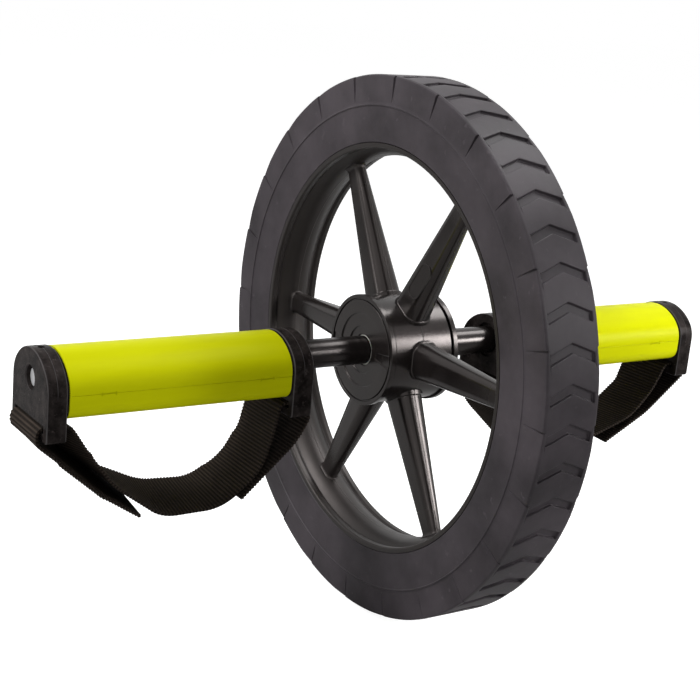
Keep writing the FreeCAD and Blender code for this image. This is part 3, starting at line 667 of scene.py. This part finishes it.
class ROLLER_OT_wheel(RollerOperator, bpy.types.Operator):
    """Models the rim, the hub barrel, the tapered spokes and the bare plate of the moulded wheel"""

    bl_idname = "roller.wheel"
    bl_label = "Wheel"

    # Distances from the axle between which the spokes' taper is given
    taper_start, taper_end = 35 * MM, 117.6 * MM

    def execute(self, context):
        sizes = self.sizes
        material = moulding_finish(self.colours.moulding)
        rim = self.make_rim()
        parts = [self.make_hub(sizes.hub_radius), self.make_spokes(sizes), self.make_plate()]
        activate(rim)
        for part in parts:
            part.select_set(True)
        bpy.ops.object.join()
        rim.name = rim.data.name = "wheel_dressed"
        finish_piece(rim, "rolling_wheel", material, ["wheel"], 40.0)
        return {"FINISHED"}

    def taper(self, place):
        """Depth along the axle and width of a spoke at a distance from the axle."""
        share = (place - self.taper_start) / (self.taper_end - self.taper_start)
        return [root + (tip - root) * share for root, tip in zip(self.sizes.spoke_root, self.sizes.spoke_tip)]

    def make_plate(self):
        """A bare raised plate with a fine border on the near side of one spoke."""
        inner, outer, half, rise, sunk = 44 * MM, 70 * MM, 5.4 * MM, 0.5 * MM, 1.5 * MM
        border, field = 0.8 * MM, 0.35 * MM
        outline = arc((outer - half, 0), half, -90, 90, 12) + arc((inner + half, 0), half, 90, 270, 12)
        piece = draw_line("plate", [(x, sunk - self.taper(x)[0] / 2, z) for x, z in outline])
        bpy.ops.mesh.edge_face_add()
        extrude(0, -rise - sunk, 0)
        bpy.ops.mesh.inset(thickness=border, depth=0.0)
        extrude(0, field, 0)
        face_outwards()
        edit_mode(False)
        soften(piece, 0.2 * MM, 2, 40)
        piece.rotation_euler = (0, radians(-58.5), 0)
        settle()
        return piece

    def make_rim(self):
        """Spins the rim: crowned inside, rounded lips and the seat of the tyre."""
        middle, flank, crown, steps = 117.2 * MM, 11.3 * MM, 4.9 * MM, 10
        shares = [step / steps for step in range(steps + 1)]
        half = [(middle + crown * share ** 2.2, flank * share) for share in shares]
        half += arc((121.4 * MM, 11.75 * MM), 0.9 * MM, -15, 30, 3)
        half += arc((123.0 * MM, 14.0 * MM), 1.5 * MM, 225, 180, 4)
        half += arc((122.7 * MM, 16.0 * MM), 1.2 * MM, 180, 90, 6)
        half += [(124.7 * MM, 17.2 * MM), (124.7 * MM, 13.0 * MM), (128.0 * MM, 13.0 * MM)]
        piece = draw_line("rim", as_outline(both_sides(half)))
        turn_round(240)
        return piece

    def make_hub(self, radius):
        """Spins the hub barrel between its two covers."""
        bore, end, soft = 10.0 * MM, 21.0 * MM, 1.0 * MM
        half = arc((radius - soft, end - soft), soft, 0, 90, 4) + [(bore, end)]
        piece = draw_line("hub", as_outline(both_sides(half)))
        turn_round(128)
        return piece

    def make_spokes(self, sizes):
        """Lofts one spoke from hub to rim by extruding its rounded section, then copies it round."""
        clear_selection()
        start, hub, rim = 29.6 * MM, sizes.hub_radius, self.taper_end
        hub_fillet, rim_fillet = 0.8 * MM, 2.6 * MM
        bpy.ops.mesh.primitive_plane_add(size=1.0, rotation=(0, pi / 2, 0), location=(start, 0, 0))
        piece = bpy.context.object
        piece.name = piece.data.name = "spokes"
        settle()
        edit_mode()
        bpy.ops.mesh.select_all(action="SELECT")

        def section(place):
            depth, width = self.taper(place)
            for surface, fillet, way, deep in ((hub, hub_fillet, 1, 1.0), (rim, rim_fillet, -1, 0.55)):
                gap = max(0.0, min(fillet, (place - surface) * way))
                grow = fillet - sqrt(fillet ** 2 - (fillet - gap) ** 2)
                depth += 2 * grow * deep
                width += 2 * grow
            return depth, width

        depth, width = section(start)
        bpy.ops.transform.resize(value=(1, depth, width), center_override=(start, 0, 0))
        bpy.ops.mesh.bevel(offset=0.4 * depth, segments=6, affect="VERTICES", profile=0.5)
        places = [hub + step * MM for step in (0, 0.15, 0.4, 0.8)]
        places += [hub + (rim - hub) * share for share in (0.2, 0.4, 0.6, 0.8)]
        places += [rim - step * MM for step in (2.6, 1.7, 1.0, 0.5, 0.2, 0.05, 0.0)] + [rim + 2 * MM]
        here = start
        for place in places:
            extrude(place - here, 0, 0)
            new_depth, new_width = section(place)
            bpy.ops.transform.resize(
                value=(1, new_depth / depth, new_width / width), center_override=(place, 0, 0))
            here, depth, width = place, new_depth, new_width
        face_outwards()
        repeat_round(sizes.spokes)
        edit_mode(False)
        return piece


class ROLLER_OT_hub_caps(RollerOperator, bpy.types.Operator):
    """Models the stepped hub covers with their key ways"""

    bl_idname = "roller.hub_caps"
    bl_label = "Hub covers"

    def execute(self, context):
        low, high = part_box("left_hub_end_cap")
        radius, face, back = high.x, -low.y, 21.1 * MM
        hole, well, plate, groove = 9.1 * MM, 14.5 * MM, 22.5 * MM, 30.5 * MM
        well_floor, plate_floor, groove_floor = face - 1.6 * MM, face - 0.8 * MM, face - 1.2 * MM
        key_depth, key_half_angle = 0.7 * MM, 6.3
        outline = [
            (hole, back), (hole, face - 2.1 * MM), (hole + 0.6 * MM, well_floor), (well, well_floor),
            (well, plate_floor), (plate, plate_floor), (plate, face), (groove, face),
            (groove, groove_floor), (groove + MM, groove_floor), (groove + MM, face), (radius, face),
            (radius, back),
        ]
        piece = draw_line("left_hub_end_cap_dressed", [(place, -along, 0) for place, along in outline])
        turn_round(144)
        select_where(piece, "FACE", lambda centre, item: (
            well < hypot(centre.x, centre.z) < groove and -centre.y > face - 0.9 * MM
            and abs(item.normal.y) > 0.9
            and abs(degrees(atan2(centre.z, abs(centre.x)))) < key_half_angle))
        extrude(0, key_depth, 0)
        edit_mode(False)
        soften(piece, 0.3 * MM, 3, 40)
        material = bpy.data.materials["wheel_plastic_finish"]
        dress_pair(piece, "hub_end_cap", "rolling_wheel", material)
        return {"FINISHED"}


class ROLLER_OT_caps(RollerOperator, bpy.types.Operator):
    """Models the inner and outer handle caps with their slots, bores and mould seams"""

    bl_idname = "roller.caps"
    bl_label = "Handle caps"

    def execute(self, context):
        collar, edge = self.sizes.cap_collar, self.sizes.cap_edge / 2
        boxes = {which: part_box(f"left_{which}_cap") for which in ("inner", "outer")}
        plates = {"inner": (boxes["inner"][1].y, boxes["inner"][0].y + collar),
                  "outer": (boxes["outer"][1].y - collar, boxes["outer"][0].y)}
        # Places along the axle where the cap finish paints pale highlight lines: the rounded edges of each
        # plate and the middles of their mould seams.
        edges = [-place for start, stop in plates.values() for place in (start - edge, stop + edge)]
        seams = [-(start + stop) / 2 for start, stop in plates.values()]
        material = cap_finish(self.colours.cap, edges, seams)
        for which, (start, stop) in plates.items():
            low, high = boxes[which]
            piece = self.make_plate(which, high, low, start, stop)
            self.bore(piece, which, start, stop)
            step = self.make_collar(high, stop if which == "inner" else start + collar)
            activate(piece)
            step.select_set(True)
            bpy.ops.object.join()
            dress_pair(piece, f"{which}_cap", "handles", material)
        return {"FINISHED"}

    def make_plate(self, which, high, low, start, stop):
        """The cap's plate with rounded outlines and a seam over its arch."""
        sizes = self.sizes
        outline = arch(high.x, high.z, -low.z, sizes.cap_shoulder, sizes.arch_drop, 2 * MM)
        middle, seam, seam_rise = (start + stop) / 2, 0.25 * MM, 0.14 * MM
        piece = slab(f"left_{which}_cap_dressed", outline, (start, middle + seam, middle - seam, stop))
        round_ends(piece, start, stop, sizes.cap_edge)
        select_where(piece, "FACE", lambda centre, face: (
            abs(centre.y - middle) < 0.05 * MM and centre.z > -sizes.arch_drop))
        bpy.ops.mesh.extrude_region_shrink_fatten(TRANSFORM_OT_shrink_fatten={"value": seam_rise})
        edit_mode(False)
        return piece

    def bore(self, piece, which, start, stop):
        """Cuts the strap slot, the axle's bore and mouth, and the screw hole or the spacer's seat."""
        middle, through = (start + stop) / 2, 2 * abs(stop - start)
        slot_drop, slot_width, slot_height = 23.03 * MM, 42 * MM, 4.35 * MM
        bore_radius, seat_radius, mouth_radius, screw_radius = 6.1 * MM, 11 * MM, 6.9 * MM, 2 * MM
        cut(piece, block((0, middle, -slot_drop), (slot_width, through, slot_height)))
        cut(piece, drill((0, middle, 0), bore_radius, through))
        if which == "inner":
            cut(piece, drill((0, start, 0), seat_radius, 4 * MM))
        else:
            cut(piece, drill((0, stop, 0), mouth_radius, 8 * MM))
            cut(piece, drill((0, middle, 17 * MM), screw_radius, 22 * MM, upright=True))
        soften(piece, 0.2 * MM, 2, 60)

    def make_collar(self, high, start):
        """The step that closes the gap between cap and grip."""
        sizes = self.sizes
        inset, foot, corner = 1.5 * MM, 17.8 * MM, 6 * MM
        outline = arch(
            high.x - inset, high.z - inset, foot, sizes.cap_shoulder - inset, sizes.arch_drop, corner)
        piece = slab("collar", outline, (start + 0.5 * MM, start - sizes.cap_collar))
        edit_mode(False)
        return piece


class ROLLER_OT_grips(RollerOperator, bpy.types.Operator):
    """Models the two half shells of each grip with their parting line and snap marks"""

    bl_idname = "roller.grips"
    bl_label = "Grips"

    def execute(self, context):
        sizes = self.sizes
        material = grip_finish(self.colours.grip)
        soft, end_edge, corner = 0.15 * MM, 0.8 * MM, sizes.grip_corner
        low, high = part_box("left_grip_upper")
        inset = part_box("left_outer_cap")[1].x - high.x
        outline = arch(high.x, high.z, -low.z, sizes.cap_shoulder - inset, sizes.arch_drop, soft)
        upper = slab("left_grip_upper_dressed", outline, (high.y, low.y))
        low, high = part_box("left_grip_lower")
        outline = arc((high.x - soft, high.z - soft), soft, 0, 90, 3)
        outline += arc((soft - high.x, high.z - soft), soft, 90, 180, 3)
        outline += arc((corner - high.x, low.z + corner), corner, 180, 270, 14)
        outline += arc((high.x - corner, low.z + corner), corner, 270, 360, 14)
        lower = slab("left_grip_lower_dressed", outline, (high.y, low.y))
        for which, piece in (("upper", upper), ("lower", lower)):
            round_ends(piece, high.y, low.y, end_edge)
            edit_mode(False)
            self.cut_marks(piece, high)
            dress_pair(piece, f"grip_{which}", "handles", material)
        return {"FINISHED"}

    def cut_marks(self, piece, corner):
        """Cuts the short snap windows that lie on the parting line."""
        length, slit, tick = 8 * MM, 0.7 * MM, 2.2 * MM
        for place in (103 * MM, 199.5 * MM):
            for way in (1, -1):
                spot = Vector((way * corner.x, -place, corner.z + 0.05 * MM))
                cut(piece, block(spot, (MM, length, slit)))
                for end in (-length / 2, length / 2):
                    cut(piece, block(spot + Vector((0, end, 0)), (MM, slit, tick)))


class ROLLER_OT_straps(RollerOperator, bpy.types.Operator):
    """Models the webbing straps as flat ribbed bands laid along their hanging path"""

    bl_idname = "roller.straps"
    bl_label = "Straps"

    # Corners of each strap's side view: place, height and radius in millimetres, and lean in degrees
    inner_end = (
        (111.3, -78.0, 0, 0), (77.5, -47.0, 42, 0), (69.95, -34.0, 3.9, 0), (69.95, -23.03, 3.9, 0),
        (88.9, -23.03, 3.4, 0), (94.0, -46.0, 36, 0))
    outer_fold = ((219.2, -23.03, 3.4, 0), (236.55, -23.03, 3.9, 0), (236.55, -31.0, 3.9, 0))
    left_corners = (
        *inner_end, (103.0, -64.5, 36, -5), (126.0, -79.2, 30, -9), (160.0, -78.4, 30, -12),
        (192.0, -59.7, 42, 0), (209.8, -43.3, 14, 14), *outer_fold, (221.0, -41.8, 20, 9),
        (196.0, -62.6, 60, 11), (173.5, -78.5, 0, 5))
    right_corners = (
        *inner_end, (103.0, -62.5, 32, 0), (126.0, -72.5, 40, 2.7), (160.0, -70.6, 40, 5.1),
        (192.0, -58.9, 42, 2.7), (209.8, -43.3, 14, 6), *outer_fold, (206.0, -55.0, 60, 1.8),
        (171.0, -73.0, 0, 3.6))

    def execute(self, context):
        sizes = self.sizes
        material = webbing_finish(self.colours.webbing)
        for hand, corners, way in zip(HANDS, (self.left_corners, self.right_corners), (-1, 1)):
            route = self.lay_route(corners)
            length = route.data.splines[0].calc_length()
            piece = self.weave_band(length, sizes)
            apply_modifier(piece, "CURVE", object=route, deform_axis="POS_X")
            bpy.data.objects.remove(route)
            apply_modifier(piece, "SOLIDIFY", thickness=sizes.strap_thick, offset=0.0)
            activate(piece)
            piece.matrix_world = Matrix(((0, 0, -1, 0), (way, 0, 0, 0), (0, 1, 0, 0), (0, 0, 0, 1)))
            settle()
            edit_mode()
            face_outwards()
            edit_mode(False)
            piece.name = piece.data.name = f"{hand}_strap_dressed"
            finish_piece(piece, "handles", material, [f"{hand}_strap"], 60.0)
        return {"FINISHED"}

    def lay_route(self, corners):
        """Draws a strap's side view as a line with rounded corners, leaning where a corner says so."""
        spots = [Vector((place, height, 0)) * MM for place, height, _, _ in corners]
        data = bpy.data.curves.new("strap_route", "CURVE")
        data.dimensions = "3D"
        data.twist_mode = "Z_UP"
        data.resolution_u = 24
        spline = data.splines.new("BEZIER")
        spline.tilt_interpolation = "BSPLINE"
        spline.bezier_points.add(2 * (len(spots) - 2) + 1)
        start, stop = (spots[1] - spots[0]) / 9, (spots[-1] - spots[-2]) / 9
        rows = [(spots[0] - start, spots[0], spots[0] + start, 0)]
        for before, spot, after, (_, _, radius, tilt) in zip(spots, spots[1:], spots[2:], corners[1:]):
            into, out = (spot - before).normalized(), (after - spot).normalized()
            turn = into.angle(out)
            reach = radius * MM * tan(turn / 2)
            pull = 4 / 3 * tan(turn / 4) * radius * MM
            first, last = spot - into * reach, spot + out * reach
            rows.append((first - into * pull, first, first + into * pull, tilt))
            rows.append((last - out * pull, last, last + out * pull, tilt))
        rows.append((spots[-1] - stop, spots[-1], spots[-1] + stop, corners[-1][3]))
        for point, (left, middle, right, tilt) in zip(spline.bezier_points, rows):
            point.handle_left_type = point.handle_right_type = "FREE"
            point.handle_left, point.co, point.handle_right = left, middle, right
            point.tilt = radians(tilt)
        route = bpy.data.objects.new("strap_route", data)
        bpy.context.scene.collection.objects.link(route)
        return route

    def weave_band(self, length, sizes):
        """A flat band along X with its width along Z, raised on every other cross line."""
        clear_selection()
        ribs, rib_rise, rib_flare = round(length / sizes.strap_rib), 0.45 * MM, 1.022
        bpy.ops.mesh.primitive_grid_add(
            x_subdivisions=2 * ribs, y_subdivisions=12, size=1.0, rotation=(pi / 2, 0, 0))
        piece = bpy.context.object
        piece.scale = (length, sizes.strap_width, 1.0)
        bpy.ops.object.transform_apply(location=False, rotation=True, scale=True)
        edit_mode()
        bpy.ops.mesh.select_all(action="SELECT")
        bpy.ops.transform.translate(value=(length / 2, 0, 0))
        step = length / (2 * ribs)
        select_where(piece, "VERT", lambda centre, vertex: round(centre.x / step) % 2 == 1)
        bpy.ops.transform.translate(value=(0, rib_rise, 0))
        bpy.ops.transform.resize(value=(1, 1, rib_flare), center_override=(0, 0, 0))
        edit_mode(False)
        yarns = round(sizes.strap_width / sizes.strap_yarn)
        for corner in piece.data.uv_layers["UVMap"].data:
            corner.uv = (corner.uv.x * ribs, corner.uv.y * yarns + 0.5)
        return piece


class ROLLER_OT_plain_parts(RollerOperator, bpy.types.Operator):
    """Gives the axle, spacers, bushes and screws, which keep their own shape, their finishes"""

    bl_idname = "roller.plain_parts"
    bl_label = "Axle parts"

    def execute(self, context):
        steel = steel_finish(self.colours.steel)
        nylon = nylon_finish(self.colours.nylon)
        wear = {"axle": steel}
        for hand in HANDS:
            wear[f"{hand}_spacer"] = bpy.data.materials["wheel_plastic_finish"]
            wear[f"{hand}_axle_bush"] = nylon
            wear[f"{hand}_grub_screw"] = steel
        for node, material in wear.items():
            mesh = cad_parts[node].data
            mesh.materials.clear()
            mesh.materials.append(material)
        return {"FINISHED"}


class ROLLER_OT_stage(RollerOperator, bpy.types.Operator):
    """Sets the pale floor, the soft lights, the white surround and the camera"""

    bl_idname = "roller.stage"
    bl_label = "Stage"

    # Each light's name, place, aim and size in metres, power in watts and spread in degrees
    lights = (
        ("key_light", (-0.25, -1.0, 1.1), (0, -0.05, 0), 0.6, 19.5, 180),
        ("back_light", (0.05, 0.7, 1.15), (0, 0.05, 0), 0.55, 9.5, 180),
        ("right_light", (1.0, 1.05, 0.45), (0, 0.4, 0), 0.5, 2.0, 40),
        ("low_light", (-0.45, -1.1, 0.12), (0, 0, 0), 0.25, 1.2, 180),
        ("fill_light", (0.75, -0.75, -0.06), (0, -0.1, -0.02), 0.5, 2.6, 180))

    def execute(self, context):
        self.set_floor()
        self.set_surround(context.scene)
        for name, place, aim, size, power, spread in self.lights:
            self.hang_light(name, Vector(place), Vector(aim), size, power, radians(spread))
        self.set_camera(context.scene)
        context.scene.view_settings.view_transform = "Standard"
        return {"FINISHED"}

    def set_floor(self):
        """A wide pale floor under the tyre."""
        clear_selection()
        bpy.ops.mesh.primitive_plane_add(size=14.0, location=(0, 0, CAD_BOX[0][2] - 0.5 * MM))
        floor = bpy.context.object
        floor.name = floor.data.name = "floor"
        settle()
        material, tree, shader, _ = new_finish("pale_floor")
        seen_strength, mirrored_strength = 0.93, 0.1
        shader.inputs["Base Color"].default_value = (0.45, 0.45, 0.45, 1)
        shader.inputs["Roughness"].default_value = 0.9
        shader.inputs["Specular IOR Level"].default_value = 0.0
        shader.inputs["Emission Color"].default_value = (1, 1, 1, 1)
        path = add_node(tree, "ShaderNodeLightPath")
        glossy, through = path.outputs["Is Glossy Ray"], path.outputs["Is Transmission Ray"]
        seen = reckon(tree, "MULTIPLY", path.outputs["Is Camera Ray"], seen_strength)
        mirrored = reckon(tree, "MULTIPLY", reckon(tree, "MAXIMUM", glossy, through), mirrored_strength)
        tree.links.new(reckon(tree, "MAXIMUM", seen, mirrored), shader.inputs["Emission Strength"])
        floor.data.materials.append(material)

    def set_surround(self, scene):
        """White for the camera and for reflections, softer as light."""
        world = bpy.data.worlds.new("surround")
        world.use_nodes = True
        tree = world.node_tree
        path = add_node(tree, "ShaderNodeLightPath")
        seen = reckon(tree, "MAXIMUM", path.outputs["Is Camera Ray"], path.outputs["Is Glossy Ray"])
        seen = reckon(tree, "MAXIMUM", seen, path.outputs["Is Transmission Ray"])
        as_light, as_seen = 0.15, 1.0
        strength = span(tree, seen, 0.0, 1.0, as_light, as_seen)
        background = tree.nodes["Background"]
        background.inputs["Color"].default_value = (1, 1, 1, 1)
        tree.links.new(strength, background.inputs["Strength"])
        scene.world = world

    def hang_light(self, name, place, aim, size, power, spread):
        """A square soft box turned towards the roller."""
        bpy.ops.object.light_add(type="AREA", location=place)
        lamp = bpy.context.object
        lamp.name = lamp.data.name = name
        lamp.rotation_euler = (place - aim).to_track_quat("Z", "Y").to_euler()
        lamp.data.size = size
        lamp.data.energy = power
        lamp.data.spread = spread

    def set_camera(self, scene):
        """The camera at the photograph's place, with its slight roll."""
        place = Vector((701.7, -506.6, 227.25)) * MM
        aim = Vector((-13.97, -22.61, -4.10)) * MM
        roll = radians(5.18)
        bpy.ops.object.camera_add(location=place)
        camera = bpy.context.object
        level = (place - aim).to_track_quat("Z", "Y")
        camera.rotation_euler = (level @ Quaternion((0, 0, 1), roll)).to_euler()
        camera.data.sensor_fit = "HORIZONTAL"
        camera.data.sensor_width = 36.0
        camera.data.lens = 74.59
        camera.data.clip_start = 0.01
        scene.camera = camera


class ROLLER_PT_panel(bpy.types.Panel):
    """Lists the steps that dress the roller"""

    bl_idname = "ROLLER_PT_panel"
    bl_label = "Ab wheel roller"
    bl_space_type = "VIEW_3D"
    bl_region_type = "UI"
    bl_category = "Roller"

    def draw(self, context):
        for operator in STEPS:
            self.layout.operator(operator.bl_idname)
        for group in (context.scene.roller_sizes, context.scene.roller_colours):
            for name in group.__annotations__:
                self.layout.prop(group, name)


STEPS = (
    ROLLER_OT_tyre, ROLLER_OT_wheel, ROLLER_OT_hub_caps, ROLLER_OT_caps, ROLLER_OT_grips, ROLLER_OT_straps,
    ROLLER_OT_plain_parts, ROLLER_OT_stage,
)
CLASSES = (RollerSizes, RollerColours, *STEPS, ROLLER_PT_panel)


def register():
    """Adds the roller's classes and its settings on the scene."""
    for item in CLASSES:
        bpy.utils.register_class(item)
    bpy.types.Scene.roller_sizes = PointerProperty(type=RollerSizes)
    bpy.types.Scene.roller_colours = PointerProperty(type=RollerColours)


def unregister():
    """Removes them again."""
    del bpy.types.Scene.roller_sizes
    del bpy.types.Scene.roller_colours
    for item in reversed(CLASSES):
        bpy.utils.unregister_class(item)


def main():
    """Runs every step in order."""
    register()
    bpy.ops.roller.tyre()
    bpy.ops.roller.wheel()
    bpy.ops.roller.hub_caps()
    bpy.ops.roller.caps()
    bpy.ops.roller.grips()
    bpy.ops.roller.straps()
    bpy.ops.roller.plain_parts()
    bpy.ops.roller.stage()
    clear_selection()


if __name__ == "__main__":
    main()
